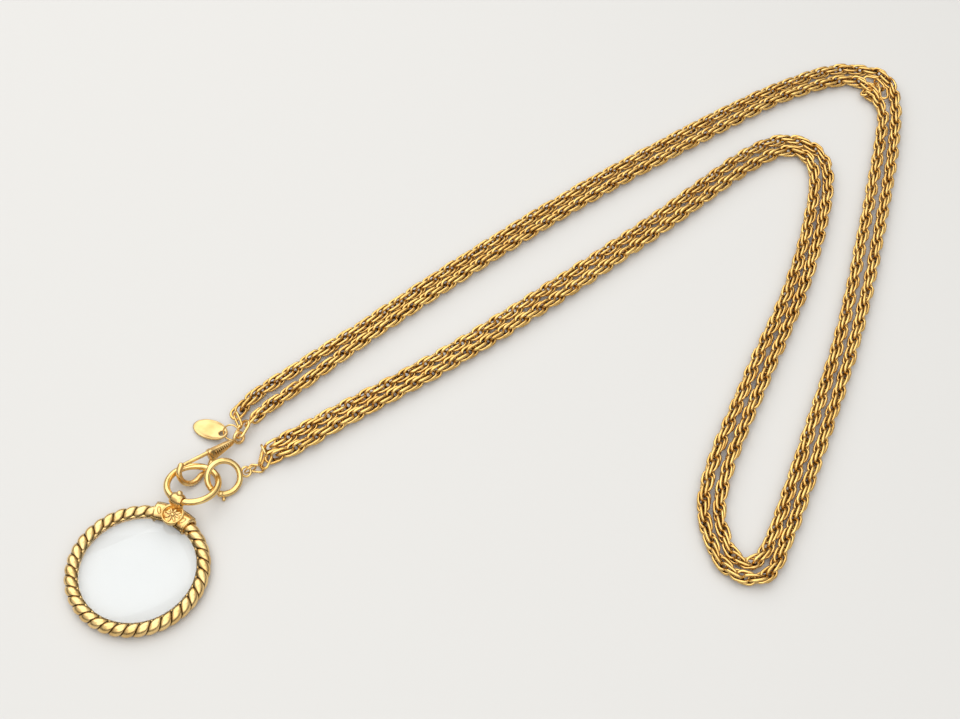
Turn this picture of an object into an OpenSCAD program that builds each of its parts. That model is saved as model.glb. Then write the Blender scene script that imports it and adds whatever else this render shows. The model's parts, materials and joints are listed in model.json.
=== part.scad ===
// Round magnifier pendant on a long double rope chain, laid flat on a table.
// Origin: centre of the pendant and its ring on the table, +Y towards the chain, +Z up.

/* [Loupe] */
// Radius of the rope rim's centre line
rim_r = 22.5; // [20:0.5:24]
// Radius of the rope
rope_r = 2.5; // [2.3:0.1:2.6]
// Rise of each lens face over its edge
lens_sag = 1.6; // [1:0.1:1.8]
// Thickness of the lens at its edge
lens_edge = 1.4; // [1:0.1:1.4]

/* [Collar] */
// Angle of rim that the collar covers
collar_angle = 34; // [24:1:40]
// Radius of the emblem's bezel
bezel_r = 3.7; // [3:0.1:3.8]
// Number of petals in the emblem
petals = 8; // [5:1:10]

/* [Rings] */
// Centre-line radius of the connector ring
ring_r = 9; // [8.5:0.1:9.2]
// Wire radius of the connector ring
ring_wire = 1.2; // [0.9:0.05:1.2]
// Centre-line radius of the spring ring
spring_r = 5.9; // [5.7:0.1:6]
// Outer radius of the spring ring's tube
spring_tube = 1.1; // [1:0.05:1.1]

/* [Hook] */
// Width of the hook's shank at the eye
shank_narrow = 2.2; // [1.8:0.1:2.4]
// Width of the hook's shank at the head
shank_wide = 4.2; // [3.6:0.1:4.4]
// Number of ribs on the shank
ribs = 8; // [4:1:9]

/* [Chain] */
// Width of the rope chain
chain_w = 5; // [4.2:0.1:5]

/* [Tag] */
// Length of the tag
tag_l = 14.2; // [14:0.1:15]
// Width of the tag
tag_w = 8; // [7:0.1:8.4]

/* [Hidden] */
$fn = 48;
fit = 0.05;

// The connector ring leans down from the bail to its far side.
ring_tilt = [-14.5, -5, 0];
ring_from_lens = 35.6;
ring_z = 6;
reach = ring_from_lens + ring_r * cos(ring_tilt[0]) + ring_wire;
lens_y = -(reach - rim_r - rope_r) / 2;

// Rebate for the lens, open at the back
rebate_r = rim_r - 1.85;
shoulder_z = 3.25;
lens_r = rebate_r - 0.1;
lens_top = shoulder_z - 0.1;
lens_mid = lens_top - lens_edge / 2;
lens_ball = (lens_r * lens_r + lens_sag * lens_sag) / (2 * lens_sag);

collar_top = 6;
bezel_at = [0.6, 22.2];
bail_r = 2.5;
bail_bore = 1.65;
bail_w = 4.6;
bail_at = [-0.2, ring_from_lens - ring_r * cos(ring_tilt[0]),
    ring_z - ring_r * sin(ring_tilt[0])];

// Hook: eye at its origin, shank along +X, gate on the +Y side
hook_at = [3, 60.8, 2.8];
hook_turn = [124, -7.5, -111];
eye_r = 1.9;
eye_wire = 0.6;
head_x = 13;
arm_r = 0.85;
arm_root = [12.3, -1.6];
arm_knee = [15.5, -4.3];
nose_at = [21.9, -1.2];
nose_r = 4.4;
nose_from = 235;
nose_to = 420;
nose_start = nose_at + nose_r * [cos(nose_from), sin(nose_from)];
nose_end = nose_at + nose_r * [cos(nose_to), sin(nose_to)];
gate_at = [12.6, 1.3];
gate_tip = [22.7, 2.25];
gate_r = 0.6;
pin_r = 0.45;
slot_half = 0.75;

// Spring ring: its tube runs once round, less the gap for the tongue
spring_at = [7.9, 43.2, 5];
spring_turn = [31, 26, 26.5];
bore_r = 0.75;
case_from = -88;
case_sweep = 324;
tongue_r = bore_r - fit;
spring_eye_angle = 27;
spring_eye_r = 1.7;
knob_angle = -75;
knob_travel = 40;

// Strand routes on the table, at the height of half a chain's width
outer_route = [[-3, 60], [-2.5, 64], [-1.5, 68.5], [3, 79.5], [16.5, 109.5], [38, 159],
    [61, 208], [86.5, 255.5], [114, 301.5], [134, 326], [143.5, 331], [152, 333],
    [158, 330.5], [162.5, 324.5], [168.5, 308], [180.5, 249], [188.5, 195.5], [193, 141.5],
    [195, 99.5], [194.5, 86], [191.5, 81.5], [186, 79.5], [178.5, 81], [172.5, 86.5],
    [165, 97.5], [161, 115], [159, 159.5], [157.5, 213], [149, 261], [143.5, 271],
    [138, 274], [132.5, 272.5], [124, 261.5], [103, 212.5], [81, 163.5], [57, 115],
    [31, 69.5], [23.5, 56], [18.5, 49.5]];
inner_route = [
    [4, 62], [5.5, 67], [10, 77.5], [21.5, 107.5], [43, 157], [66, 205.5], [91.5, 252.5],
    [118.5, 298.5], [125.5, 307.5], [133, 316], [140, 322], [146.5, 324.5], [152, 322.5],
    [157.5, 317.5], [161.8, 311], [166, 294.5], [174.5, 248], [183, 195], [187.5, 141],
    [190, 100], [189.5, 90], [186.5, 85.5], [181.5, 85.5], [176, 90.5], [170, 100],
    [166.5, 116], [164.5, 159.5], [162.5, 213.5], [154, 263.5], [147.5, 275.5], [140.5, 279.5],
    [132, 279], [125.5, 274.5], [118.5, 264], [98, 214.5], [76, 166], [52.5, 117.5],
    [26, 71.5], [18.5, 58.5], [15.5, 53.5]];
strand_sides = 8;

// ---- shared shapes ----

// From the lens's own centre to the part's frame
module from_lens(p) {
    translate([p[0], lens_y + p[1], len(p) > 2 ? p[2] : 0]) children();
}

module wire_ring(r, wire, sweep = 360) {
    rotate_extrude(angle = sweep)
        translate([r, 0])
            circle(wire);
}

// Ring with straight sides, lying along X
module oblong_ring(length, width, wire) {
    r = width / 2;
    straight = length / 2 - r;
    for (side = [-1, 1]) {
        translate([straight * side, 0, 0])
            rotate([0, 0, -90 * side])
                wire_ring(r, wire, 180);
        translate([-straight, r * side, 0])
            rotate([0, 90, 0])
                cylinder(r = wire, h = 2 * straight);
    }
}

module rod(a, b, r) {
    d = [b[0] - a[0], b[1] - a[1]];
    translate([a[0], a[1], 0])
        rotate([0, 90, atan2(d[1], d[0])])
            cylinder(r = r, h = norm(d));
}

// Direction of a route at one of its points
function heading(route, i) =
    let (a = route[max(i - 1, 0)], b = route[min(i + 1, len(route) - 1)])
        (b - a) / norm(b - a);

// One ring of points across a route
function strand_ring(route, i) =
    let (d = heading(route, i), side = [-d[1], d[0]])
        [for (k = [0 : strand_sides - 1])
            let (a = (k + 0.5) * 360 / strand_sides, across = cos(a) * chain_w / 2)
                [route[i][0] + side[0] * across, route[i][1] + side[1] * across,
                    chain_w / 2 + sin(a) * chain_w / 2]];

module strand(route) {
    n = strand_sides;
    last = len(route) - 1;
    points = [for (i = [0 : last]) each strand_ring(route, i)];
    walls = [for (i = [0 : last - 1], k = [0 : n - 1])
        [i * n + k, i * n + (k + 1) % n, (i + 1) * n + (k + 1) % n, (i + 1) * n + k]];
    start_cap = [for (k = [0 : n - 1]) n - 1 - k];
    end_cap = [for (k = [0 : n - 1]) last * n + k];
    polyhedron(points, concat(walls, [start_cap, end_cap]), convexity = 10);
}

module hook_frame() {
    from_lens(hook_at)
        rotate(hook_turn)
            children();
}

module spring_frame() {
    from_lens(spring_at)
        rotate(spring_turn)
            children();
}

// ---- the loupe ----

module rim_torus() {
    from_lens([0, 0, rope_r])
        rotate_extrude()
            translate([rim_r, 0])
                circle(rope_r);
}

module rope_rim() {
    color("goldenrod")
        difference() {
            rim_torus();
            from_lens([0, 0, -1])
                cylinder(r = rebate_r, h = shoulder_z + 1);
        }
}

// Height of a lens face over its edge, at a distance from the middle
function lens_rise(x) = lens_sag - lens_ball + sqrt(lens_ball * lens_ball - x * x);

module lens() {
    steps = 12;
    half = lens_edge / 2;
    face = [for (i = [0 : steps])
        let (x = lens_r * i / steps) [x, half + lens_rise(x)]];
    back = [for (i = [steps : -1 : 0]) [face[i][0], -face[i][1]]];
    color("lightcyan", 0.4)
        from_lens([0, 0, lens_mid])
            rotate_extrude($fn = 96)
                polygon(concat(face, back));
}

module retaining_ring() {
    height = 0.7;
    opening = 2;
    color("peru")
        from_lens([0, 0, lens_mid - lens_edge / 2 - 0.15 - height])
            difference() {
                cylinder(r = rebate_r, h = height);
                translate([0, 0, -1])
                    cylinder(r = rebate_r - 0.6, h = height + 2);
                translate([-opening / 2, -rim_r, -1])
                    cube([opening, rim_r, height + 2]);
            }
}

module collar() {
    inside = rim_r - rope_r - 0.7;
    outside = rim_r + rope_r + 1;
    color("darkgoldenrod")
        difference() {
            union() {
                from_lens([0, 0])
                    rotate([0, 0, 90 - collar_angle / 2])
                        rotate_extrude(angle = collar_angle)
                            polygon([[inside, 3.6], [inside + 0.3, 5.2], [inside + 1.3, collar_top],
                                [outside - 1.8, collar_top], [outside - 0.4, 5.2],
                                [outside, 3.5], [outside, 0.4], [outside - 2, 0.4],
                                [inside + 1.3, 3.6]]);
                from_lens([bezel_at[0], bezel_at[1], collar_top - 1.4])
                    cylinder(r = bezel_r, h = 1.4);
            }
            rim_torus();
        }
}

module emblem_bezel() {
    color("gold")
        difference() {
            from_lens([bezel_at[0], bezel_at[1], collar_top])
                cylinder(r = bezel_r, h = 1.2);
            from_lens([bezel_at[0], bezel_at[1], collar_top - 1])
                cylinder(r = bezel_r - 0.7, h = 4);
            bail_barrel(bail_r);
        }
}

module emblem_rosette() {
    color("gold")
        difference() {
            from_lens([bezel_at[0], bezel_at[1], collar_top]) {
                cylinder(r = bezel_r - 0.9, h = 0.4);
                cylinder(r = 0.8, h = 0.9);
                for (i = [0 : petals - 1])
                    rotate([0, 0, i * 360 / petals])
                        translate([1.75, 0, 0])
                            cylinder(r = 0.55, h = 0.8);
            }
            bail_barrel(bail_r);
        }
}

module collar_rivets() {
    head_r = 0.6;
    color("gold")
        for (a = [-12.5, 12.5])
            from_lens([rim_r * sin(a), rim_r * cos(a), collar_top])
                cylinder(r = head_r, h = 0.4);
}

module bail_barrel(r) {
    from_lens(bail_at)
        rotate([0, 90 + ring_tilt[1], 0])
            cylinder(r = r, h = bail_w, center = true);
}

module bail() {
    foot_w = 3.4;
    ball_r = 1.1;
    color("gold")
        difference() {
            union() {
                bail_barrel(bail_r);
                from_lens([bail_at[0] + 0.3, bail_at[1] + 1.4, bail_at[2] + bail_r - 0.3])
                    sphere(ball_r);
                from_lens([bail_at[0] - foot_w / 2, rim_r + rope_r + 1, 3.2])
                    cube([foot_w, 2.2, bail_at[2] - 3.2]);
            }
            from_lens(bail_at)
                rotate([0, 90 + ring_tilt[1], 0])
                    cylinder(r = bail_bore, h = bail_w + 2, center = true);
            from_lens([-rim_r, 0, -1])
                cube([2 * rim_r, rim_r + rope_r + 1, collar_top + 1]);
        }
}

// ---- the clasp ----

module connector_ring() {
    color("goldenrod")
        from_lens([0, ring_from_lens, ring_z])
            rotate(ring_tilt)
                wire_ring(ring_r, ring_wire);
}

module hook_body() {
    $fn = 32;
    thick = 2.6;
    first_rib = 5;
    rib_step = 0.95;
    color("goldenrod")
        hook_frame()
            difference() {
                union() {
                    wire_ring(eye_r, eye_wire);
                    linear_extrude(thick, center = true)
                        polygon([[eye_r + 0.3, -0.5], [4, -shank_narrow / 2],
                            [head_x - 1, -shank_wide / 2], [head_x, -shank_wide / 2 + 0.6],
                            [head_x + 0.4, 0], [head_x, shank_wide / 2 - 0.6],
                            [head_x - 1, shank_wide / 2], [4, shank_narrow / 2],
                            [eye_r + 0.3, 0.5]]);
                    for (i = [0 : ribs - 1])
                        translate([first_rib + i * rib_step, 0.9 + 0.1 * i, 0])
                            cylinder(r = 0.35, h = thick + 0.4, center = true);
                    rod(arm_root, arm_knee, arm_r);
                    rod(arm_knee, nose_start, arm_r);
                    translate(nose_at)
                        rotate([0, 0, nose_from])
                            wire_ring(nose_r, arm_r, nose_to - nose_from);
                    for (p = [arm_knee, nose_start, nose_end])
                        translate(p)
                            sphere(arm_r + fit);
                }
                translate([gate_at[0] - 2.4, -0.1, -slot_half])
                    cube([5, 4, 2 * slot_half]);
                translate(concat(gate_at, 0))
                    cylinder(r = pin_r, h = 2 * thick, center = true);
            }
}

module hook_gate() {
    knuckle_r = 0.95;
    color("gold")
        hook_frame()
            difference() {
                union() {
                    rod(gate_at, gate_tip, gate_r);
                    translate(concat(gate_at, 0))
                        cylinder(r = knuckle_r, h = 1.1, center = true);
                }
                translate(concat(gate_at, 0))
                    cylinder(r = pin_r + fit, h = 4, center = true);
            }
}

module gate_pin() {
    color("darkgoldenrod")
        hook_frame()
            translate(concat(gate_at, 0))
                cylinder(r = pin_r, h = 2.6, center = true);
}

module gate_spring() {
    color("silver")
        hook_frame()
            translate([gate_at[0] - 2.35, 0, -0.4])
                cube([1.1, 0.25, 0.8]);
}

module spring_ring_case() {
    slot_sweep = knob_travel + 18;
    color("goldenrod")
        spring_frame()
            difference() {
                union() {
                    rotate([0, 0, case_from])
                        wire_ring(spring_r, spring_tube, case_sweep);
                    rotate([0, 0, spring_eye_angle])
                        translate([spring_r + spring_tube + 1.3, 0, 0])
                            wire_ring(spring_eye_r, 0.45);
                }
                wire_ring(spring_r, bore_r);
                rotate([0, 0, knob_angle - 8])
                    rotate_extrude(angle = slot_sweep)
                        translate([spring_r, -0.5])
                            square([2, 1]);
            }
}

module spring_ring_tongue() {
    sweep = 66;
    stem_r = 0.4;
    stem_l = 1.85;
    knob_r = 0.65;
    color("gold")
        spring_frame() {
            rotate([0, 0, -126])
                wire_ring(spring_r, tongue_r - 0.1, sweep);
            rotate([0, 0, knob_angle])
                translate([spring_r, 0, 0]) {
                    rotate([0, 90, 0])
                        cylinder(r = stem_r, h = stem_l);
                    translate([stem_l, 0, 0])
                        sphere(knob_r);
                }
        }
}

module spring_ring_spring() {
    color("silver")
        spring_frame()
            rotate([0, 0, -59])
                rotate_extrude(angle = 100)
                    translate([spring_r, 0])
                        difference() {
                            circle(0.6);
                            circle(0.35);
                        }
}

// ---- small rings ----

module chain_end_ring() {
    color("goldenrod")
        translate([2.6, 53.8, 3.6])
            rotate([-25, -11, 89])
                oblong_ring(7.2, 3.8, 0.55);
}

module jump_link() {
    color("gold")
        translate([13.7, 40.9, 2.7])
            rotate([105, 37.5, 64.5])
                wire_ring(2.2, 0.32);
}

module clasp_link() {
    color("goldenrod")
        translate([14.8, 43.1, 1.1])
            rotate([-7, 12.5, 26.5])
                oblong_ring(5.2, 3, 0.42);
}

module gather_ring() {
    color("goldenrod")
        translate([14.5, 49.5, 3.15])
            rotate([0, 83, 52.5])
                wire_ring(2.5, 0.5);
}

module tag_ring() {
    color("gold")
        translate([-0.7, 51.3, 2.7])
            rotate([52, -8.5, 27.5])
                wire_ring(2.9, 0.32);
}

// Outline of an oval, inset from the tag's edge
function oval(inset) = [for (a = [0 : 7.5 : 352.5])
    [(tag_l / 2 - inset) * cos(a), (tag_w / 2 - inset) * sin(a)]];

module hang_tag() {
    thick = 0.9;
    hole_at = tag_l / 2 - 2;
    border = 0.7;
    color("khaki")
        translate([-8.7, 49.5, 1.6])
            rotate([-1, -7.5, 2])
                difference() {
                    linear_extrude(thick, center = true)
                        polygon(oval(0));
                    translate([hole_at, 0, 0])
                        cylinder(r = 1.2, h = 4, center = true);
                    translate([0, 0, thick / 2 - 0.2])
                        linear_extrude(1)
                            intersection() {
                                polygon(oval(border));
                                translate([-tag_l / 2, -tag_w / 2])
                                    square([tag_l - 4.2, tag_w]);
                            }
                }
}

// ---- the chain ----

module strand_outer() {
    color("goldenrod") strand(outer_route);
}

module strand_inner() {
    color("goldenrod") strand(inner_route);
}

rope_rim();
lens();
retaining_ring();
collar();
emblem_bezel();
emblem_rosette();
collar_rivets();
bail();
connector_ring();
hook_body();
hook_gate();
gate_pin();
gate_spring();
spring_ring_case();
spring_ring_tongue();
spring_ring_spring();
chain_end_ring();
jump_link();
clasp_link();
gather_ring();
strand_outer();
strand_inner();
tag_ring();
hang_tag();
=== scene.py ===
"""A round magnifier pendant on a long double rope chain, laid on a pale table.

Lengths are in millimetres, and MM turns them into metres where a mesh or a path is made.
"""
import json
import math
import random

import bpy
import numpy as np
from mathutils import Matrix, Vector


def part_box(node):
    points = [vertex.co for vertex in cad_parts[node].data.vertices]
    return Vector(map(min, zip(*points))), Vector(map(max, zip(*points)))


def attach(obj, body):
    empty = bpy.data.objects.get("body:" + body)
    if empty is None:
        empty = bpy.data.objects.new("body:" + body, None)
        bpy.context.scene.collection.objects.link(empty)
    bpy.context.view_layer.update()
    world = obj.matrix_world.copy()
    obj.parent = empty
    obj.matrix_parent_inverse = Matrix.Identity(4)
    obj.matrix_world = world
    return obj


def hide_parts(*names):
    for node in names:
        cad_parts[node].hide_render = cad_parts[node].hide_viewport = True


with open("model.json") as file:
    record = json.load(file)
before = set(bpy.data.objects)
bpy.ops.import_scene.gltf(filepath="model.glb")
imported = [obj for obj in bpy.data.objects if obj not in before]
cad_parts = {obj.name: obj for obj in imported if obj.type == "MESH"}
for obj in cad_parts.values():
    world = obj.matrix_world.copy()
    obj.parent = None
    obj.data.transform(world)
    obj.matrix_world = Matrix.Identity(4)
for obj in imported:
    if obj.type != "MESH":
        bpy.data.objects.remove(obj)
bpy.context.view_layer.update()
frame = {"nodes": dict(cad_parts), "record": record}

MM = 0.001

# ---- the camera: looks down at the table from the pendant's end, turned a little to the right ----

VIEW_TARGET = (64.91, 122.27, 0.0)
VIEW_DISTANCE = 567.0
VIEW_AZIMUTH = 26.5
VIEW_ELEVATION = 55.0
FOCAL_MM = 56.25
SENSOR_MM = 36.0
CLIP_NEAR, CLIP_FAR = 0.01, 20


def make_camera():
    az, el = math.radians(VIEW_AZIMUTH), math.radians(VIEW_ELEVATION)
    away = np.array([math.sin(az) * math.cos(el), -math.cos(az) * math.cos(el), math.sin(el)])
    data = bpy.data.cameras.new("camera")
    data.lens = FOCAL_MM
    data.sensor_width = SENSOR_MM
    data.clip_start = CLIP_NEAR
    data.clip_end = CLIP_FAR
    camera = bpy.data.objects.new("camera", data)
    camera.location = (np.array(VIEW_TARGET) + VIEW_DISTANCE * away) * MM
    camera.rotation_euler = (math.pi / 2 - el, 0, az)
    bpy.context.collection.objects.link(camera)
    bpy.context.scene.camera = camera


make_camera()

# ---- mesh helpers ----


def unit(v):
    return v / np.linalg.norm(v, axis=-1, keepdims=True)


def turned(angles):
    """The matrix that turns by X, then Y, then Z, in degrees."""
    x, y, z = np.radians(angles)
    about_x = np.array([[1, 0, 0], [0, np.cos(x), -np.sin(x)], [0, np.sin(x), np.cos(x)]])
    about_y = np.array([[np.cos(y), 0, np.sin(y)], [0, 1, 0], [-np.sin(y), 0, np.cos(y)]])
    about_z = np.array([[np.cos(z), -np.sin(z), 0], [np.sin(z), np.cos(z), 0], [0, 0, 1]])
    return about_z @ about_y @ about_x


class Place:
    """Where a piece's own axes lie in the row frame."""

    def __init__(self, at=(0, 0, 0), turn=(0, 0, 0)):
        self.at = np.array(at, float)
        self.matrix = turned(turn)

    def __call__(self, points):
        return np.asarray(points, float) @ self.matrix.T + self.at


class Shape:
    """Points and faces gathered into one mesh."""

    def __init__(self):
        self.points = []
        self.faces = []
        self.count = 0

    def add(self, points, faces):
        self.points.append(np.asarray(points, float))
        self.faces += [tuple(i + self.count for i in face) for face in faces]
        self.count += len(points)

    def piece(self, name, place=None):
        points = np.concatenate(self.points)
        if place:
            points = place(points)
        mesh = bpy.data.meshes.new(name)
        mesh.from_pydata((points * MM).tolist(), [], self.faces)
        mesh.update()
        mesh.polygons.foreach_set("use_smooth", [True] * len(mesh.polygons))
        made = bpy.data.objects.new(name, mesh)
        bpy.context.collection.objects.link(made)
        return made


def grid_faces(rows, columns, closed_rows, closed_columns=True):
    """Quads between rows of points, joined up round either way where it is closed."""
    faces = []
    for i in range(rows if closed_rows else rows - 1):
        for k in range(columns if closed_columns else columns - 1):
            j, m = (i + 1) % rows, (k + 1) % columns
            faces.append((i * columns + k, i * columns + m, j * columns + m, j * columns + k))
    return faces


def frames_along(line, closed, up=None):
    """Tangent, side and up at each point, carried along without twist."""
    line = np.asarray(line, float)
    if closed:
        ahead = np.roll(line, -1, 0) - np.roll(line, 1, 0)
    else:
        ahead = np.gradient(line, axis=0)
    tangent = unit(ahead)
    if up is None:
        up = np.array([0, 0, 1.0]) if abs(tangent[0][2]) < 0.9 else np.array([1.0, 0, 0])
    ups = []
    current = np.array(up, float)
    for t in tangent:
        current = current - current.dot(t) * t
        current = current / np.linalg.norm(current)
        ups.append(current)
    ups = np.array(ups)
    return tangent, np.cross(ups, tangent), ups


def tube(line, radius, sides=12, closed=False, up=None):
    """A round tube along a line, with domed ends where it is open."""
    line = np.asarray(line, float)
    radii = np.broadcast_to(np.asarray(radius, float), (len(line),)).copy()
    if not closed:
        line, radii = domed(line, radii)
    _, side, ups = frames_along(line, closed, up)
    angle = np.arange(sides) * 2 * np.pi / sides
    ring = (np.cos(angle)[None, :, None] * side[:, None, :]
            + np.sin(angle)[None, :, None] * ups[:, None, :])
    points = (line[:, None, :] + radii[:, None, None] * ring).reshape(-1, 3)
    faces = grid_faces(len(line), sides, closed)
    if not closed:
        last = (len(line) - 1) * sides
        faces.append(tuple(range(sides - 1, -1, -1)))
        faces.append(tuple(last + k for k in range(sides)))
    return points, faces


DOME_STEPS = 4
DOME_REACH = 0.96


def domed(line, radii):
    """Adds the points and shrinking radii that round off both ends."""
    start_dir, end_dir = unit(line[0] - line[1]), unit(line[-1] - line[-2])
    angles = np.linspace(0, np.pi / 2, DOME_STEPS + 1)[1:] * DOME_REACH
    start = [line[0] + start_dir * radii[0] * np.sin(a) for a in angles][::-1]
    end = [line[-1] + end_dir * radii[-1] * np.sin(a) for a in angles]
    shrink = np.cos(angles)
    return (np.vstack([start, line, end]),
            np.concatenate([radii[0] * shrink[::-1], radii, radii[-1] * shrink]))


def circle_line(r, points=64, start=0.0, sweep=360.0, centre=(0, 0, 0)):
    """Points round a circle in XY, or along an arc of it in degrees."""
    whole = sweep >= 360
    angle = np.radians(start + np.linspace(0, sweep, points + 1 if whole else points))
    if whole:
        angle = angle[:-1]
    return np.stack([r * np.cos(angle), r * np.sin(angle), 0 * angle], 1) + np.array(centre, float)


def oblong_line(length, width, points):
    """A ring with straight sides and round ends, long along X."""
    r = width / 2
    straight = length / 2 - r
    total = 4 * straight + 2 * np.pi * r
    line = []
    for s in np.linspace(0, total, points + 1)[:-1]:
        if s < 2 * straight:
            line.append((s - straight, -r, 0))
        elif s < 2 * straight + np.pi * r:
            a = (s - 2 * straight) / r - np.pi / 2
            line.append((straight + r * np.cos(a), r * np.sin(a), 0))
        elif s < 4 * straight + np.pi * r:
            line.append((3 * straight + np.pi * r - s, r, 0))
        else:
            a = (s - 4 * straight - np.pi * r) / r + np.pi / 2
            line.append((-straight + r * np.cos(a), r * np.sin(a), 0))
    return np.array(line)


FINE_STEPS = 24


def curve_through(knots, spacing):
    """Points every spacing along a smooth curve through the knots, and the curve's length."""
    knots = np.asarray(knots, float)
    knots = np.vstack([2 * knots[0] - knots[1], knots, 2 * knots[-1] - knots[-2]])
    fine = []
    for p0, p1, p2, p3 in zip(knots, knots[1:], knots[2:], knots[3:]):
        t0 = 0.0
        t1 = t0 + np.linalg.norm(p1 - p0) ** 0.5
        t2 = t1 + np.linalg.norm(p2 - p1) ** 0.5
        t3 = t2 + np.linalg.norm(p3 - p2) ** 0.5
        t = np.linspace(t1, t2, FINE_STEPS, endpoint=False)[:, None]
        a1 = (t1 - t) / (t1 - t0) * p0 + (t - t0) / (t1 - t0) * p1
        a2 = (t2 - t) / (t2 - t1) * p1 + (t - t1) / (t2 - t1) * p2
        a3 = (t3 - t) / (t3 - t2) * p2 + (t - t2) / (t3 - t2) * p3
        b1 = (t2 - t) / (t2 - t0) * a1 + (t - t0) / (t2 - t0) * a2
        b2 = (t3 - t) / (t3 - t1) * a2 + (t - t1) / (t3 - t1) * a3
        fine.append((t2 - t) / (t2 - t1) * b1 + (t - t1) / (t2 - t1) * b2)
    fine = np.vstack(fine + [knots[-2][None]])
    along = np.concatenate([[0], np.cumsum(np.linalg.norm(np.diff(fine, axis=0), axis=1))])
    count = int(round(along[-1] / spacing)) + 1
    wanted = np.linspace(0, along[-1], count)
    return np.stack([np.interp(wanted, along, fine[:, k]) for k in range(3)], 1), along[-1]


def lathe(profile, sides=48, closed_profile=True, start=0.0, sweep=360.0):
    """Turns a profile of (radius, height) about Z."""
    whole = sweep >= 360
    angle = np.radians(start + np.linspace(0, sweep, sides + 1 if whole else sides))
    if whole:
        angle = angle[:-1]
    r, z = np.array(profile, float).T
    points = np.stack([np.outer(np.cos(angle), r), np.outer(np.sin(angle), r),
                       np.broadcast_to(z, (len(angle), len(z)))], 2).reshape(-1, 3)
    faces = grid_faces(len(angle), len(r), whole, closed_profile)
    if closed_profile and not whole:
        last = (len(angle) - 1) * len(r)
        faces.append(tuple(range(len(r) - 1, -1, -1)))
        faces.append(tuple(last + k for k in range(len(r))))
    return points, faces


def blob(centre, radii, turn=(0, 0, 0), rings=12, sides=20):
    """A smooth ellipsoid."""
    place = Place(centre, turn)
    rx, ry, rz = radii
    points = [(0, 0, -rz)]
    for i in range(1, rings):
        a = np.pi * i / rings
        for k in range(sides):
            b = 2 * np.pi * k / sides
            points.append((rx * np.sin(a) * np.cos(b), ry * np.sin(a) * np.sin(b), -rz * np.cos(a)))
    points.append((0, 0, rz))
    top = len(points) - 1
    faces = [(0, 1 + (k + 1) % sides, 1 + k) for k in range(sides)]
    for i in range(rings - 2):
        for k in range(sides):
            m = (k + 1) % sides
            a, b = 1 + i * sides, 1 + (i + 1) * sides
            faces.append((a + k, a + m, b + m, b + k))
    faces += [(top, top - sides + k, top - sides + (k + 1) % sides) for k in range(sides)]
    return place(points), faces


CORNER_POINTS = 5


def rounded_loop(half_y, half_z, corner):
    """A rounded rectangle as (y, z) points."""
    loop = []
    for quarter, (sy, sz) in enumerate([(1, 1), (-1, 1), (-1, -1), (1, -1)]):
        for a in np.radians(np.linspace(0, 90, CORNER_POINTS) + 90 * quarter):
            loop.append((sy * (half_y - corner) + corner * np.cos(a),
                         sz * (half_z - corner) + corner * np.sin(a)))
    return loop


def loft_x(stations):
    """A skin through rounded rectangles, each (x, mid_y, half_y, half_z, corner)."""
    points = []
    for x, mid_y, half_y, half_z, corner in stations:
        points += [(x, mid_y + y, z) for y, z in rounded_loop(half_y, half_z, corner)]
    per = len(points) // len(stations)
    faces = grid_faces(len(stations), per, False)
    faces.append(tuple(range(per - 1, -1, -1)))
    faces.append(tuple((len(stations) - 1) * per + k for k in range(per)))
    return points, faces


# ---- the chain: two strands of interlocked links, each along its own route ----

CHAIN_W = 5.0
LINK_W = 5.1
LINK_L = 7.5
LINK_WIRE = 1.08
LINK_SIDES = 9
LINK_END_POINTS = 9
LINK_PITCH = 2.1
LINK_TURN = 45.0
LINK_RISE = 0.1
# how unevenly the links lie: roll in degrees, lean as a slope, and shift to the side
ROLL_PLAY = 7
LEAN_PLAY = 0.06
SHIFT_PLAY = 0.12
SEED = 7
PATH_STEP = 2
OUTER_ROUTE = [
    (-3, 60), (-2.5, 64), (-1.5, 68.5), (3, 79.5), (16.5, 109.5), (38, 159), (61, 208),
    (86.5, 255.5), (114, 301.5), (134, 326), (143.5, 331), (152, 333), (158, 330.5),
    (162.5, 324.5), (168.5, 308), (180.5, 249), (188.5, 195.5), (193, 141.5), (195, 99.5),
    (194.5, 86), (191.5, 81.5), (186, 79.5), (178.5, 81), (172.5, 86.5), (165, 97.5),
    (161, 115), (159, 159.5), (157.5, 213), (149, 261), (143.5, 271), (138, 274),
    (132.5, 272.5), (124, 261.5), (103, 212.5), (81, 163.5), (57, 115), (31, 69.5),
    (23.5, 56), (18.5, 49.5)]
INNER_ROUTE = [
    (4, 62), (5.5, 67), (10, 77.5), (21.5, 107.5), (43, 157), (66, 205.5), (91.5, 252.5),
    (118.5, 298.5), (125.5, 307.5), (133, 316), (140, 322), (146.5, 324.5), (152, 322.5),
    (157.5, 317.5), (161.8, 311), (166, 294.5), (174.5, 248), (183, 195), (187.5, 141),
    (190, 100), (189.5, 90), (186.5, 85.5), (181.5, 85.5), (176, 90.5), (170, 100),
    (166.5, 116), (164.5, 159.5), (162.5, 213.5), (154, 263.5), (147.5, 275.5), (140.5, 279.5),
    (132, 279), (125.5, 274.5), (118.5, 264), (98, 214.5), (76, 166), (52.5, 117.5),
    (26, 71.5), (18.5, 58.5), (15.5, 53.5)]


def link_line(length, width):
    """A link's wire: two round ends, with a straight run on each side."""
    r = width / 2
    angle = np.radians(np.linspace(-90, 90, LINK_END_POINTS))
    end = np.stack([length / 2 - r + r * np.cos(angle), r * np.sin(angle), 0 * angle], 1)
    return np.vstack([end, end * (-1, -1, 1)])


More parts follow.
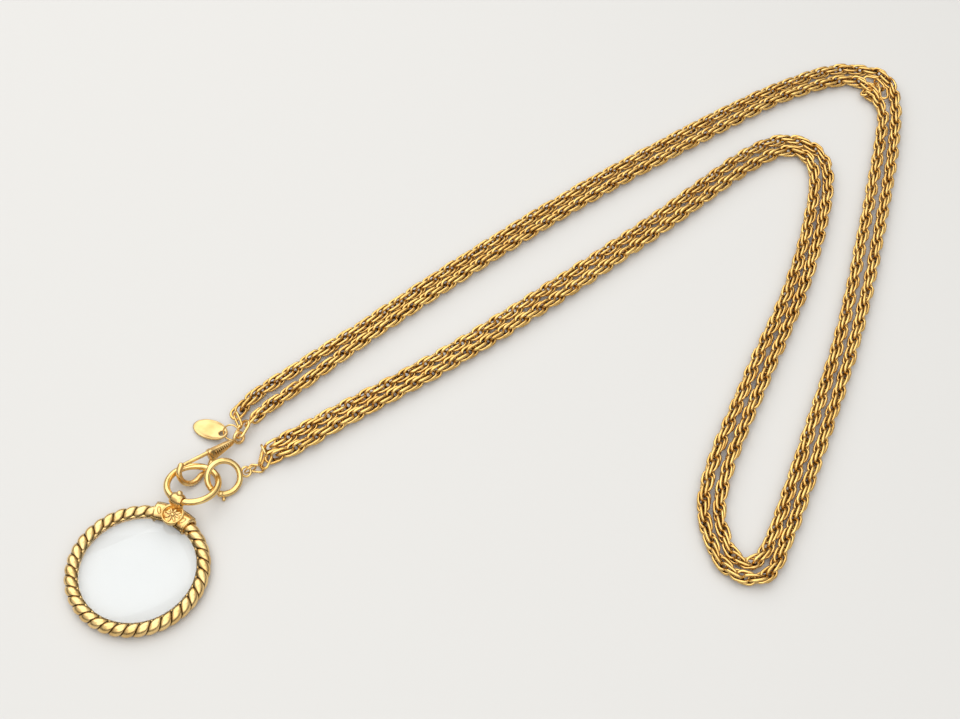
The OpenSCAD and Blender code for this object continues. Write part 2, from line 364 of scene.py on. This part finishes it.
def add_link(shape, centre, tangent, side, roll, length=LINK_L, width=LINK_W, wire=LINK_WIRE):
    """One oval link, long along tangent and rolled about it."""
    up = np.cross(tangent, side)
    across = np.cos(roll) * side + np.sin(roll) * up
    normal = np.cross(tangent, across)
    line = link_line(length - wire, width - wire)
    points, faces = tube(line, wire / 2, LINK_SIDES, True, up=(0, 0, 1))
    basis = np.stack([tangent, across, normal], 1)
    shape.add(points @ basis.T + centre, faces)


# Single links, each as centre, direction, roll in degrees and length: first those that lead from
# the strands' ends to the small rings, then the loose ones where the loop folds at its far corner.
JOIN_W = 3.9
JOIN_WIRE = 1.0
OUTER_JOINS = [((-0.8, 56.3, 4.0), (0.78, -0.62, 0.0), 65, 7.8),
               ((16.9, 46.7, 2.2), (0.1, -1, -0.2), 20, 7.0)]
INNER_JOINS = [((3.4, 58.6, 3.5), (-0.15, -1, 0.0), 50, 7.0),
               ((14.2, 47.6, 2.6), (0.3, -1, -0.2), 70, 7.4)]
SLACK = [((151.5, 327.6, 2.8), (1, 0.1, 0.05), 30, 7.5),
         ((155.3, 326.2, 3.2), (0.8, -0.6, 0.05), 80, 7.5),
         ((158.6, 322.6, 2.9), (0.4, -1, 0.0), 10, 7.5),
         ((155.2, 322.2, 4.3), (0.5, -0.9, 0.1), 60, 7.5),
         ((151.6, 320.0, 3.0), (-0.3, -1, -0.05), 20, 6.5),
         ((153.6, 317.8, 3.0), (1, -0.35, 0.0), 75, 6.5)]


def make_joins(name, rows):
    """One piece made of single links."""
    shape = Shape()
    for centre, along, roll, length in rows:
        t = unit(np.array(along, float))
        s = unit(np.cross(t, (0, 0, 1)))
        add_link(shape, np.array(centre), t, s, math.radians(roll), length, JOIN_W, JOIN_WIRE)
    return shape.piece(name)


def make_strand(name, route, start_roll):
    """A strand's links, its centre line and its length, the last two in metres."""
    rng = random.Random(SEED + len(name) + int(start_roll))
    knots = [(x, y, CHAIN_W / 2) for x, y in route]
    spots, length = curve_through(knots, LINK_PITCH)
    tangent, side, _ = frames_along(spots, False)
    shape = Shape()
    for i, (spot, t, s) in enumerate(zip(spots, tangent, side)):
        roll = math.radians(start_roll + i * LINK_TURN + rng.uniform(-ROLL_PLAY, ROLL_PLAY))
        lean = rng.uniform(-LEAN_PLAY, LEAN_PLAY)
        t = unit(t + lean * s)
        s = unit(s - s.dot(t) * t)
        spot = spot + s * rng.uniform(-SHIFT_PLAY, SHIFT_PLAY) + np.array([0, 0, LINK_RISE])
        add_link(shape, spot, t, s, roll)
    strand = shape.piece(name + "_links")
    path, _ = curve_through(knots, PATH_STEP)
    return strand, path * MM, length * MM


strand_outer, outer_path, outer_length = make_strand("strand_outer", OUTER_ROUTE, 10)
strand_inner, inner_path, inner_length = make_strand("strand_inner", INNER_ROUTE, 55)
outer_joins = make_joins("outer_end_links", OUTER_JOINS)
inner_joins = make_joins("inner_end_links", INNER_JOINS)
slack = make_joins("slack_fold_links", SLACK)

# ---- where the pendant is, from the frame ----

rim_low, rim_high = (np.array(corner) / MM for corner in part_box("rope_rim"))
LENS_C = (rim_low + rim_high) / 2
ROPE_R = (rim_high[2] - rim_low[2]) / 2
RIM_R = (rim_high[0] - rim_low[0]) / 2 - ROPE_R


def from_lens(x, y, z=0.0):
    """A point given from the lens's centre on the table."""
    return np.array([LENS_C[0] + x, LENS_C[1] + y, z])


# ---- the rope rim ----

ROPE_LOBES = 36
ROPE_STRANDS = 2
GROOVE_DEPTH = 1.0
GROOVE_SHARPNESS = 0.38
GROOVE_LEAN = 0.2
# how far up the cushions' sides the painted groove shade reaches, as a share of the crest
GROOVE_EDGE = 0.72
LOBE_STEPS = 24
SECTION_POINTS = 54


def make_rope_rim():
    """A cast rope of two strands: broad cushions with narrow grooves, over a seat for the lens."""
    shape = Shape()
    rows, columns = ROPE_LOBES * LOBE_STEPS, SECTION_POINTS
    theta = (np.arange(rows) * 2 * np.pi / rows)[:, None]
    around = (np.arange(columns) * 2 * np.pi / columns)[None, :]
    wound = around + GROOVE_LEAN * np.cos(around)
    phase = (ROPE_LOBES * theta - ROPE_STRANDS * wound) / 2
    crest = np.abs(np.sin(phase)) ** GROOVE_SHARPNESS
    r = ROPE_R - GROOVE_DEPTH * (1 - crest)
    reach = RIM_R + r * np.cos(around)
    points = np.stack([reach * np.cos(theta), reach * np.sin(theta), ROPE_R + r * np.sin(around)], 2)
    shape.add(points.reshape(-1, 3), grid_faces(rows, columns, True))
    seat = [(RIM_R - 2.05, 0.95), (RIM_R - 1.2, 0.8), (RIM_R - 0.6, 2.2), (RIM_R - 1.2, 3.6),
            (RIM_R - 2.25, 3.45), (RIM_R - 2.3, 3.2), (RIM_R - 1.86, 3.16), (RIM_R - 1.86, 1.0)]
    shape.add(*lathe(seat, 180))
    rim = shape.piece("rope_rim_twist", Place(from_lens(0, 0)))
    # painted shade: the grooves between the cushions are marked, so the metal is painted darker there
    hollow = rim.data.attributes.new("hollow", "FLOAT", "POINT")
    dark = np.zeros(len(rim.data.vertices))
    dark[:crest.size] = np.clip((GROOVE_EDGE - crest) / GROOVE_EDGE, 0, 1).ravel()
    hollow.data.foreach_set("value", dark)
    return rim


rope = make_rope_rim()

# ---- the lens ----

LENS_R = RIM_R - 1.95
LENS_SAG = 1.6
LENS_EDGE = 1.4
LENS_MID = 2.45
LENS_SIDES = 128


def make_lens():
    """A biconvex disc, with a single point in the middle of each face."""
    half = LENS_EDGE / 2
    ball = (LENS_R ** 2 + LENS_SAG ** 2) / (2 * LENS_SAG)
    r = LENS_R * np.sin(np.linspace(0, np.pi / 2, 28))
    rise = LENS_SAG - ball + np.sqrt(ball ** 2 - r ** 2)
    dome = [(a, half + b) for a, b in zip(r, rise)][1:]
    profile = dome + [(a, -b) for a, b in dome[::-1]]
    points, faces = lathe(profile, LENS_SIDES, False)
    poles = [(0, 0, half + LENS_SAG), (0, 0, -half - LENS_SAG)]
    per, top, base = len(profile), len(points), len(points) + 1
    for k in range(LENS_SIDES):
        m = (k + 1) % LENS_SIDES
        faces.append((top, k * per, m * per))
        faces.append((base, m * per + per - 1, k * per + per - 1))
    shape = Shape()
    shape.add(np.vstack([points, poles]), faces)
    return shape.piece("lens_glass_disc", Place(from_lens(0, 0, LENS_MID)))


lens = make_lens()

# ---- collar, emblem and bail ----

COLLAR_ANGLE = 34.0
COLLAR_TOP = 6.0
BEZEL_AT = (0.6, 22.0)
BEZEL_R = 4.0
PETALS = 8
PETAL_REACH = 1.9
RIVET_ANGLE = 12.5


def make_collar():
    """A saddle over the rim, with a bead along each edge, a hoop at each end and four small leaves."""
    shape = Shape()
    inside, outside = RIM_R - ROPE_R - 0.6, RIM_R + ROPE_R + 0.95
    profile = [(inside, 3.7), (inside - 0.05, 4.6), (inside + 0.4, 5.4), (inside + 1.2, 5.85),
               (RIM_R - 0.6, COLLAR_TOP), (RIM_R + 1.2, COLLAR_TOP), (outside - 1.1, 5.7),
               (outside - 0.3, 5.0),
               (outside, 3.9), (outside, 1.6), (outside - 0.2, 0.6), (outside - 0.7, 0.5),
               (outside - 1.1, 2.2), (outside - 1.6, 4.2), (RIM_R, 4.9), (inside + 1.4, 4.4)]
    shape.add(*lathe(profile, 34, True, 90 - COLLAR_ANGLE / 2, COLLAR_ANGLE))
    for side in (-1, 1):
        for r, z, wire in ((inside + 0.1, 4.4, 0.62), (outside - 0.25, 4.3, 0.42)):
            arc = circle_line(r, 30, 90 - COLLAR_ANGLE / 2, COLLAR_ANGLE, (0, 0, z))
            shape.add(*tube(arc, wire, 10))
        edge = math.radians(90 + side * COLLAR_ANGLE / 2)
        hoop = [((RIM_R + (ROPE_R + 0.55) * math.cos(a)) * math.cos(edge),
                 (RIM_R + (ROPE_R + 0.55) * math.cos(a)) * math.sin(edge),
                 ROPE_R + (ROPE_R + 0.55) * math.sin(a))
                for a in np.radians(np.linspace(-28, 200, 26))]
        shape.add(*tube(hoop, 0.5, 10))
        for i in range(2):
            a = math.radians(90 + side * (7.5 + 5 * i))
            shape.add(*blob(((RIM_R - 0.4) * math.cos(a), (RIM_R - 0.4) * math.sin(a), 5.9),
                            (0.75, 1.6, 0.5), (0, 0, math.degrees(a) - 90 + side * 24)))
    return shape.piece("collar_saddle", Place(from_lens(0, 0)))


def make_bezel():
    shape = Shape()
    profile = [(BEZEL_R - 0.75, 0.0), (BEZEL_R - 0.8, 0.7), (BEZEL_R - 0.6, 1.1),
               (BEZEL_R - 0.3, 1.25), (BEZEL_R - 0.05, 1.05), (BEZEL_R + 0.05, 0.6),
               (BEZEL_R, -0.2), (BEZEL_R - 0.2, -1.2), (BEZEL_R - 0.75, -1.2)]
    shape.add(*lathe(profile, 64))
    return shape.piece("emblem_bezel_ring", Place(from_lens(*BEZEL_AT, COLLAR_TOP)))


def make_rosette():
    shape = Shape()
    shape.add(*blob((0, 0, -0.1), (BEZEL_R - 0.6, BEZEL_R - 0.6, 0.45), rings=10, sides=40))
    for i in range(PETALS):
        a = 360 * i / PETALS
        x, y = PETAL_REACH * math.cos(math.radians(a)), PETAL_REACH * math.sin(math.radians(a))
        shape.add(*blob((x, y, 0.35), (1.05, 0.52, 0.42), (0, 0, a)))
    shape.add(*blob((0, 0, 0.5), (0.7, 0.7, 0.5)))
    return shape.piece("emblem_flower", Place(from_lens(*BEZEL_AT, COLLAR_TOP)))


def make_rivets():
    shape = Shape()
    for a in (-RIVET_ANGLE, RIVET_ANGLE):
        x, y = RIM_R * math.sin(math.radians(a)), RIM_R * math.cos(math.radians(a))
        shape.add(*blob((x, y, COLLAR_TOP + 0.05), (0.6, 0.6, 0.4)))
    return shape.piece("collar_rivet_heads", Place(from_lens(0, 0)))


RING_TILT = (-14.5, -5, 0)
RING_R = 9.0
RING_WIRE = 1.2
BAIL_R = 2.5
BAIL_BORE = 1.65
BAIL_W = 4.6
ring_low, ring_high = (np.array(corner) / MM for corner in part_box("connector_ring"))
RING_AT = (ring_low + ring_high) / 2
BAIL_AT = Place(RING_AT, RING_TILT)([(0, -RING_R, 0)])[0]


def make_bail():
    """A bored knuckle on the ring, a ball beside it and a foot down to the collar."""
    shape = Shape()
    half = BAIL_W / 2
    profile = [(BAIL_BORE, -half + 0.1), (BAIL_BORE + 0.3, -half), (BAIL_R - 0.55, -half + 0.05),
               (BAIL_R - 0.2, -half + 0.45), (BAIL_R - 0.02, -half + 1.2), (BAIL_R + 0.05, 0),
               (BAIL_R - 0.02, half - 1.2), (BAIL_R - 0.2, half - 0.45),
               (BAIL_R - 0.55, half - 0.05), (BAIL_BORE + 0.3, half), (BAIL_BORE, half - 0.1)]
    points, faces = lathe(profile, 40)
    shape.add(Place((0, 0, 0), (0, 90 + RING_TILT[1], 0))(points), faces)
    shape.add(*blob((0.3, 1.5, BAIL_R - 0.35), (1.15, 1.15, 1.15)))
    foot = [(-2.1, -0.6), (-2.1, -3.2), (-1.6, -4.6), (1.6, -4.6), (2.1, -3.2), (2.1, -0.6)]
    lip = RIM_R + ROPE_R + 0.9 - (BAIL_AT[1] - LENS_C[1])
    front = [(x, lip, z) for x, z in foot]
    back = [(x * 0.85, lip + 1.0, z) for x, z in foot]
    n = len(foot)
    faces = [tuple(range(n)), tuple(range(2 * n - 1, n - 1, -1))]
    faces += [(k, n + k, n + (k + 1) % n, (k + 1) % n) for k in range(n)]
    shape.add(front + back, faces)
    return shape.piece("bail_knuckle", Place(BAIL_AT))


collar, bezel, rosette = make_collar(), make_bezel(), make_rosette()
rivets, bail = make_rivets(), make_bail()

# ---- connector ring, hook and spring ring ----


def make_ring():
    shape = Shape()
    shape.add(*tube(circle_line(RING_R, 120), RING_WIRE, 24, True))
    return shape.piece("connector_ring_wire", Place(RING_AT, RING_TILT))


HOOK = Place(from_lens(3, 60.8, 2.8), (124, -7.5, -111))
EYE_R = 1.9
EYE_WIRE = 0.6
GATE_AT = (12.6, 1.3)
GATE_TIP = (22.7, 2.25)
NOSE_AT = (21.9, -1.2)
NOSE_R = 4.4
NOSE_FROM, NOSE_TO = 235, 420
RIBS = 8


def make_hook_body():
    """An eye, a ribbed head that widens to the gate's hinge, and the nose that curls round."""
    shape = Shape()
    shape.add(*tube(circle_line(EYE_R, 40), EYE_WIRE, 14, True))
    stations = [(EYE_R + 0.1, 0, 0.45, 0.5, 0.3), (2.6, 0, 0.75, 0.75, 0.4), (3.6, 0, 1.05, 1.0, 0.5),
                (6, 0, 1.4, 1.15, 0.55), (9, 0, 1.75, 1.25, 0.6), (11.4, 0, 2.05, 1.3, 0.6),
                (11.9, 0, 2.25, 1.4, 0.6), (12.9, 0, 2.25, 1.4, 0.6), (13.2, 0, 2.05, 1.3, 0.6),
                (13.4, 0, 1.6, 1.1, 0.5)]
    shape.add(*loft_x(stations))
    for i in range(RIBS):
        x = 4.8 + 0.82 * i
        high = 0.45 + 0.07 * i
        for face in (-1, 1):
            deep = face * (1.08 + 0.03 * i)
            shape.add(*blob((x, 0.3, deep), (0.26, high, 0.5), rings=10, sides=12))
    line = np.vstack([[(12.3, -1.6, 0), (13.8, -2.9, 0), (15.5, -4.3, 0)],
                      circle_line(NOSE_R, 40, NOSE_FROM, NOSE_TO - NOSE_FROM, (*NOSE_AT, 0))])
    line, _ = curve_through(line, 0.5)
    s = np.linspace(0, 1, len(line))
    radius = 1.08 - 0.14 * np.exp(-((s - 0.25) / 0.15) ** 2)
    shape.add(*tube(line, radius, 16))
    return shape.piece("hook_casting", HOOK)


def make_gate():
    """A bar from its hinge barrel to the nose's tip."""
    shape = Shape()
    a, b = np.array([*GATE_AT, 0.0]), np.array([*GATE_TIP, 0.0])
    line = a + (b - a) * np.linspace(0, 1, 16)[:, None]
    radius = 0.7 + 0.12 * np.linspace(1, 0, 16) ** 2
    shape.add(*tube(line, radius, 14))
    profile = [(0.5, -0.55), (0.8, -0.55), (0.95, -0.4), (0.95, 0.4), (0.8, 0.55), (0.5, 0.55)]
    points, faces = lathe(profile, 32)
    shape.add(points + a, faces)
    return shape.piece("hook_gate_bar", HOOK)


SPRING = Place(from_lens(7.9, 43.2, 5), (31, 26, 26.5))
SPRING_R = 5.9
SPRING_TUBE = 1.1
SPRING_BORE = 0.72
SPRING_SIDES = 20
CASE_FROM, CASE_SWEEP = -88, 324
SPRING_EYE_ANGLE = 27
BOLT_FROM, BOLT_SWEEP = -126, 66
KNOB_ANGLE = -75
STEM_L = 1.85


def at_angle(angle, r, z=0.0):
    return np.array([r * math.cos(math.radians(angle)), r * math.sin(math.radians(angle)), z])


def make_spring_case():
    """A bored, open ring with a cuff at each end and an eye on its outside."""
    shape = Shape()
    arc = circle_line(SPRING_R, 110, CASE_FROM, CASE_SWEEP)
    _, side, ups = frames_along(arc, False)
    angle = np.arange(SPRING_SIDES) * 2 * np.pi / SPRING_SIDES
    rings = []
    for r in (SPRING_TUBE, SPRING_BORE):
        ring = (np.cos(angle)[None, :, None] * side[:, None, :]
                + np.sin(angle)[None, :, None] * ups[:, None, :])
        rings.append(arc[:, None, :] + r * ring)
    outer, inner = (r.reshape(-1, 3) for r in rings)
    n, rows = SPRING_SIDES, len(arc)
    faces = grid_faces(rows, n, False)
    bore = [tuple(i + rows * n for i in f[::-1]) for f in faces]
    ends = []
    for row in (0, rows - 1):
        for k in range(n):
            m = (k + 1) % n
            quad = (row * n + k, row * n + m, (rows + row) * n + m, (rows + row) * n + k)
            ends.append(quad if row else quad[::-1])
    shape.add(np.vstack([outer, inner]), faces + bore + ends)
    for end in (CASE_FROM + 2, CASE_FROM + CASE_SWEEP - 2):
        cuff_arc = circle_line(SPRING_R, 5, end - 1.5, 3)
        points, cuff = tube(cuff_arc, SPRING_TUBE + 0.07, SPRING_SIDES)
        shape.add(points, [f for f in cuff if len(f) == 4])
    shape.add(*tube(circle_line(1.7, 36, centre=at_angle(SPRING_EYE_ANGLE, 8.3)), 0.45, 12, True))
    return shape.piece("spring_ring_tube", SPRING)


def make_tongue():
    """The bolt, curved like the case's bore, and the knob that slides it."""
    shape = Shape()
    shape.add(*tube(circle_line(SPRING_R, 30, BOLT_FROM, BOLT_SWEEP), 0.6, 14))
    stem = [at_angle(KNOB_ANGLE, SPRING_R + s) for s in np.linspace(0, STEM_L, 6)]
    shape.add(*tube(stem, 0.38, 10))
    shape.add(*blob(at_angle(KNOB_ANGLE, SPRING_R + STEM_L), (0.72, 0.72, 0.72)))
    return shape.piece("spring_ring_bolt", SPRING)


connector = make_ring()
hook, gate = make_hook_body(), make_gate()
spring_case, tongue = make_spring_case(), make_tongue()

# ---- the small rings and the tag ----


def ring_piece(name, line, wire, at, turn):
    shape = Shape()
    shape.add(*tube(line, wire, closed=True))
    return shape.piece(name, Place(at, turn))


end_ring = ring_piece("chain_end_ring_wire", oblong_line(7.2, 3.8, 64), 0.55,
                      (2.6, 53.8, 3.6), (-25, -11, 89))
jump_link = ring_piece("jump_link_wire", circle_line(2.2, 48), 0.32,
                       (13.7, 40.9, 2.7), (105, 37.5, 64.5))
clasp_link = ring_piece("clasp_link_wire", oblong_line(5.2, 3, 56), 0.42,
                        (14.8, 43.1, 1.1), (-7, 12.5, 26.5))
gather_ring = ring_piece("gather_ring_wire", circle_line(2.5, 48), 0.5,
                         (14.5, 49.5, 3.15), (0, 83, 52.5))
tag_ring = ring_piece("tag_ring_wire", circle_line(2.9, 56), 0.32,
                      (-0.7, 51.3, 2.7), (52, -8.5, 27.5))

TAG_L, TAG_W, TAG_T = 14.2, 8.0, 0.9
TAG_HOLE_AT, TAG_HOLE_R = 5.1, 1.2
TAG_POINTS = 96
HOLE_REACH = 0.999
EDGE_ROUND = 0.12
# the upper face from the plate's edge to the hole's: share of the way across, and height
TAG_FACE = [(0.0, 0.30), (0.04, TAG_T / 2 - 0.05), (0.10, TAG_T / 2), (0.17, TAG_T / 2 - 0.02),
            (0.22, TAG_T / 2 - 0.2), (0.5, TAG_T / 2 - 0.22), (0.8, TAG_T / 2 - 0.24),
            (0.93, TAG_T / 2 - 0.22), (1.0, TAG_T / 2 - 0.3)]


def make_tag():
    """An oval plate with a raised border and a pierced end."""
    shape = Shape()
    n = TAG_POINTS
    angle = np.arange(n) * 2 * np.pi / n
    hole = np.array([TAG_HOLE_AT, 0.0])
    rim = np.stack([TAG_L / 2 * np.cos(angle), TAG_W / 2 * np.sin(angle)], 1)
    around = np.arctan2(rim[:, 1], rim[:, 0] - hole[0])
    edge = hole + TAG_HOLE_R * np.stack([np.cos(around), np.sin(around)], 1)
    rows = []
    for share, z in TAG_FACE:
        inset = share * HOLE_REACH
        rows.append(np.column_stack([rim + (edge - rim) * inset, np.full(n, z)]))
    under = []
    for i, row in reversed(list(enumerate(rows))):
        lift = EDGE_ROUND if i in (0, len(rows) - 1) else 0
        under.append(np.column_stack([row[:, :2], np.full(n, -TAG_T / 2 + lift)]))
    points = np.vstack(rows + under)
    faces = [f[::-1] for f in grid_faces(len(rows) + len(under), n, True)]
    shape.add(points, faces)
    return shape.piece("hang_tag_oval", Place((-8.7, 49.5, 1.6), (-1, -7.5, 2)))


tag = make_tag()

# ---- materials ----


def new_material(name):
    material = bpy.data.materials.new(name)
    material.use_nodes = True
    tree = material.node_tree
    return material, tree, tree.nodes["Principled BSDF"]


def link(tree, a, b):
    tree.links.new(a, b)


def gold(name, face, shade_colour, rough, dark_reach, bump=0.06):
    """Yellow metal with shade painted into its hollows, from ambient occlusion and the hollow mark, with
    patches of wear and fine scratches.
    """
    material, tree, shader = new_material(name)
    nodes = tree.nodes
    place = nodes.new("ShaderNodeTexCoord")
    cloud = nodes.new("ShaderNodeTexNoise")
    cloud.inputs["Scale"].default_value = 160
    cloud.inputs["Detail"].default_value = 5
    fine = nodes.new("ShaderNodeTexNoise")
    fine.inputs["Scale"].default_value = 900
    fine.inputs["Detail"].default_value = 3
    link(tree, place.outputs["Object"], cloud.inputs["Vector"])
    link(tree, place.outputs["Object"], fine.inputs["Vector"])
    tone = nodes.new("ShaderNodeMix")
    tone.data_type = "RGBA"
    tone.inputs["A"].default_value = (*face, 1)
    tone.inputs["B"].default_value = (face[0] * 0.8, face[1] * 0.72, face[2] * 0.6, 1)
    shift = nodes.new("ShaderNodeMapRange")
    shift.inputs["From Min"].default_value = 0.42
    shift.inputs["From Max"].default_value = 0.68
    link(tree, cloud.outputs["Fac"], shift.inputs["Value"])
    link(tree, shift.outputs["Result"], tone.inputs["Factor"])
    # painted shade: where ambient occlusion is low, and where the hollow mark is set, the base colour is
    # mixed toward the dark shade colour
    hollow = nodes.new("ShaderNodeAmbientOcclusion")
    hollow.inputs["Distance"].default_value = dark_reach
    hollow.samples = 8
    hollow.only_local = True
    depth = nodes.new("ShaderNodeMapRange")
    depth.inputs["From Min"].default_value = 0.35
    depth.inputs["From Max"].default_value = 0.8
    marked = nodes.new("ShaderNodeAttribute")
    marked.attribute_name = "hollow"
    unmarked = nodes.new("ShaderNodeMath")
    unmarked.operation = "SUBTRACT"
    unmarked.use_clamp = True
    link(tree, hollow.outputs["AO"], unmarked.inputs[0])
    link(tree, marked.outputs["Fac"], unmarked.inputs[1])
    link(tree, unmarked.outputs["Value"], depth.inputs["Value"])
    hollow_shade = nodes.new("ShaderNodeMix")
    hollow_shade.data_type = "RGBA"
    hollow_shade.inputs["A"].default_value = (*shade_colour, 1)
    link(tree, depth.outputs["Result"], hollow_shade.inputs["Factor"])
    link(tree, tone.outputs["Result"], hollow_shade.inputs["B"])
    link(tree, hollow_shade.outputs["Result"], shader.inputs["Base Color"])
    polish = nodes.new("ShaderNodeMapRange")
    polish.inputs["To Min"].default_value = rough - 0.06
    polish.inputs["To Max"].default_value = rough + 0.1
    link(tree, fine.outputs["Fac"], polish.inputs["Value"])
    link(tree, polish.outputs["Result"], shader.inputs["Roughness"])
    dents = nodes.new("ShaderNodeBump")
    dents.inputs["Strength"].default_value = bump
    dents.inputs["Distance"].default_value = 0.0002
    link(tree, cloud.outputs["Fac"], dents.inputs["Height"])
    link(tree, dents.outputs["Normal"], shader.inputs["Normal"])
    shader.inputs["Metallic"].default_value = 1.0
    return material


def glass():
    """Clear glass; shadow and diffuse rays pass straight through, so the table under it stays bright."""
    material, tree, shader = new_material("lens_glass")
    shader.inputs["Base Color"].default_value = (0.93, 0.97, 1.0, 1)
    shader.inputs["Roughness"].default_value = 0.02
    shader.inputs["IOR"].default_value = 1.5
    shader.inputs["Transmission Weight"].default_value = 1.0
    clear = tree.nodes.new("ShaderNodeBsdfTransparent")
    path = tree.nodes.new("ShaderNodeLightPath")
    both = tree.nodes.new("ShaderNodeMixShader")
    open_rays = tree.nodes.new("ShaderNodeMath")
    open_rays.operation = "MAXIMUM"
    link(tree, path.outputs["Is Shadow Ray"], open_rays.inputs[0])
    link(tree, path.outputs["Is Diffuse Ray"], open_rays.inputs[1])
    link(tree, open_rays.outputs["Value"], both.inputs["Fac"])
    link(tree, shader.outputs["BSDF"], both.inputs[1])
    link(tree, clear.outputs["BSDF"], both.inputs[2])
    link(tree, both.outputs["Shader"], tree.nodes["Material Output"].inputs["Surface"])
    return material


def steel():
    material, tree, shader = new_material("spring_steel")
    shader.inputs["Base Color"].default_value = (0.55, 0.55, 0.56, 1)
    shader.inputs["Metallic"].default_value = 1.0
    wear = tree.nodes.new("ShaderNodeTexNoise")
    wear.inputs["Scale"].default_value = 700
    spread = tree.nodes.new("ShaderNodeMapRange")
    spread.inputs["To Min"].default_value = 0.25
    spread.inputs["To Max"].default_value = 0.5
    link(tree, wear.outputs["Fac"], spread.inputs["Value"])
    link(tree, spread.outputs["Result"], shader.inputs["Roughness"])
    return material


# each gold's second colour is the painted shade for its hollows
FINISH = {
    "antique_gold": gold("antique_gold", (0.88, 0.62, 0.27), (0.05, 0.02, 0.004), 0.24, 0.0012),
    "bright_gold": gold("bright_gold", (0.88, 0.63, 0.26), (0.12, 0.05, 0.012), 0.2, 0.001),
    "chain_gold": gold("chain_gold", (0.85, 0.56, 0.19), (0.10, 0.04, 0.008), 0.2, 0.0013),
    "lens_glass": glass(),
    "spring_steel": steel()}
SATIN = gold("satin_gold", (0.80, 0.58, 0.26), (0.16, 0.07, 0.02), 0.42, 0.001, bump=0.25)

# ---- each piece: what it stands for, its body and its finish ----

PIECES = [
    (strand_outer, "strand_outer", "chain", "chain_gold"),
    (strand_inner, "strand_inner", "chain", "chain_gold"),
    (gather_ring, "gather_ring", "chain", "bright_gold"),
    (rope, "rope_rim", "pendant", "antique_gold"),
    (lens, "lens", "pendant", "lens_glass"),
    (collar, "collar", "pendant", "antique_gold"),
    (bezel, "emblem_bezel", "pendant", "bright_gold"),
    (rosette, "emblem_rosette", "pendant", "antique_gold"),
    (rivets, "collar_rivets", "pendant", "bright_gold"),
    (bail, "bail", "pendant", "antique_gold"),
    (connector, "connector_ring", "connector", "bright_gold"),
    (hook, "hook_body", "hook", "antique_gold"),
    (gate, "hook_gate", "gate", "bright_gold"),
    (spring_case, "spring_ring_case", "spring_ring", "bright_gold"),
    (tongue, "spring_ring_tongue", "tongue", "bright_gold"),
    (end_ring, "chain_end_ring", "end_ring", "bright_gold"),
    (jump_link, "jump_link", "clasp_links", "bright_gold"),
    (clasp_link, "clasp_link", "clasp_links", "bright_gold"),
    (tag_ring, "tag_ring", "tag_loop", "bright_gold"),
    (tag, "hang_tag", "tag", "bright_gold")]
for piece, node, body, finish in PIECES:
    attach(piece, body)
    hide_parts(node)
    piece.data.materials.append(FINISH[finish])
tag.data.materials[0] = SATIN  # duller than the rings it shares a slot with
for piece in (outer_joins, inner_joins, slack):
    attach(piece, "chain")
    piece.data.materials.append(FINISH["chain_gold"])
# every CAD node gets its finish too: the hidden parts show as their CAD solids
for row in frame["record"]["subparts"]:
    carried = frame["nodes"][row["node"]]
    for index in range(max(1, len(carried.material_slots))):
        if not carried.material_slots:
            carried.data.materials.append(FINISH[row["material_slot"]])
        carried.material_slots[index].material = FINISH[row["material_slot"]]

# ---- table and light ----

TABLE_HALF = 30000.0
TABLE_TOP = -0.02
HORIZON_LIGHT = 0.1
CEILING_LIGHT = 0.95


def make_table():
    shape = Shape()
    half, top = TABLE_HALF, TABLE_TOP
    shape.add([(-half, -half, top), (half, -half, top), (half, half, top), (-half, half, top)],
              [(0, 1, 2, 3)])
    table = shape.piece("table")
    material, _, shader = new_material("table_paper")
    shader.inputs["Base Color"].default_value = (0.6, 0.595, 0.58, 1)
    shader.inputs["Roughness"].default_value = 0.55
    table.data.materials.append(material)


def area_light(name, at, aim, size, power, colour=(1, 1, 1)):
    """A square lamp that faces a point; places and size are in metres, power in watts."""
    data = bpy.data.lights.new(name, "AREA")
    data.size = size
    data.energy = power
    data.color = colour
    lamp = bpy.data.objects.new(name, data)
    lamp.location = at
    direction = np.array(aim) - np.array(at)
    yaw = math.atan2(direction[1], direction[0])
    pitch = math.atan2(-direction[2], math.hypot(direction[0], direction[1]))
    lamp.rotation_euler = (math.pi / 2 - pitch, 0, yaw - math.pi / 2)
    bpy.context.collection.objects.link(lamp)


def make_world():
    """A bright ceiling that falls off to a dim band near the horizon, for contrast in the metal."""
    world = bpy.data.worlds.new("studio")
    bpy.context.scene.world = world
    world.use_nodes = True
    tree = world.node_tree
    back = tree.nodes["Background"]
    place = tree.nodes.new("ShaderNodeTexCoord")
    split = tree.nodes.new("ShaderNodeSeparateXYZ")
    rise = tree.nodes.new("ShaderNodeMapRange")
    rise.interpolation_type = "SMOOTHSTEP"
    rise.inputs["From Min"].default_value = 0.1
    rise.inputs["From Max"].default_value = 0.75
    rise.inputs["To Min"].default_value = HORIZON_LIGHT
    rise.inputs["To Max"].default_value = CEILING_LIGHT
    link(tree, place.outputs["Generated"], split.inputs["Vector"])
    link(tree, split.outputs["Z"], rise.inputs["Value"])
    link(tree, rise.outputs["Result"], back.inputs["Strength"])
    back.inputs["Color"].default_value = (1.0, 0.99, 0.975, 1)


bpy.context.scene.view_settings.view_transform = "Standard"
bpy.context.scene.view_settings.look = "None"
make_table()
make_world()
area_light("window_left", (-0.55, 0.55, 0.95), (0.05, 0.12, 0), 1.5, 9.0, (1.0, 0.99, 0.97))
area_light("top_soft", (0.35, -0.35, 1.0), (0.06, 0.1, 0), 1.3, 5.5)
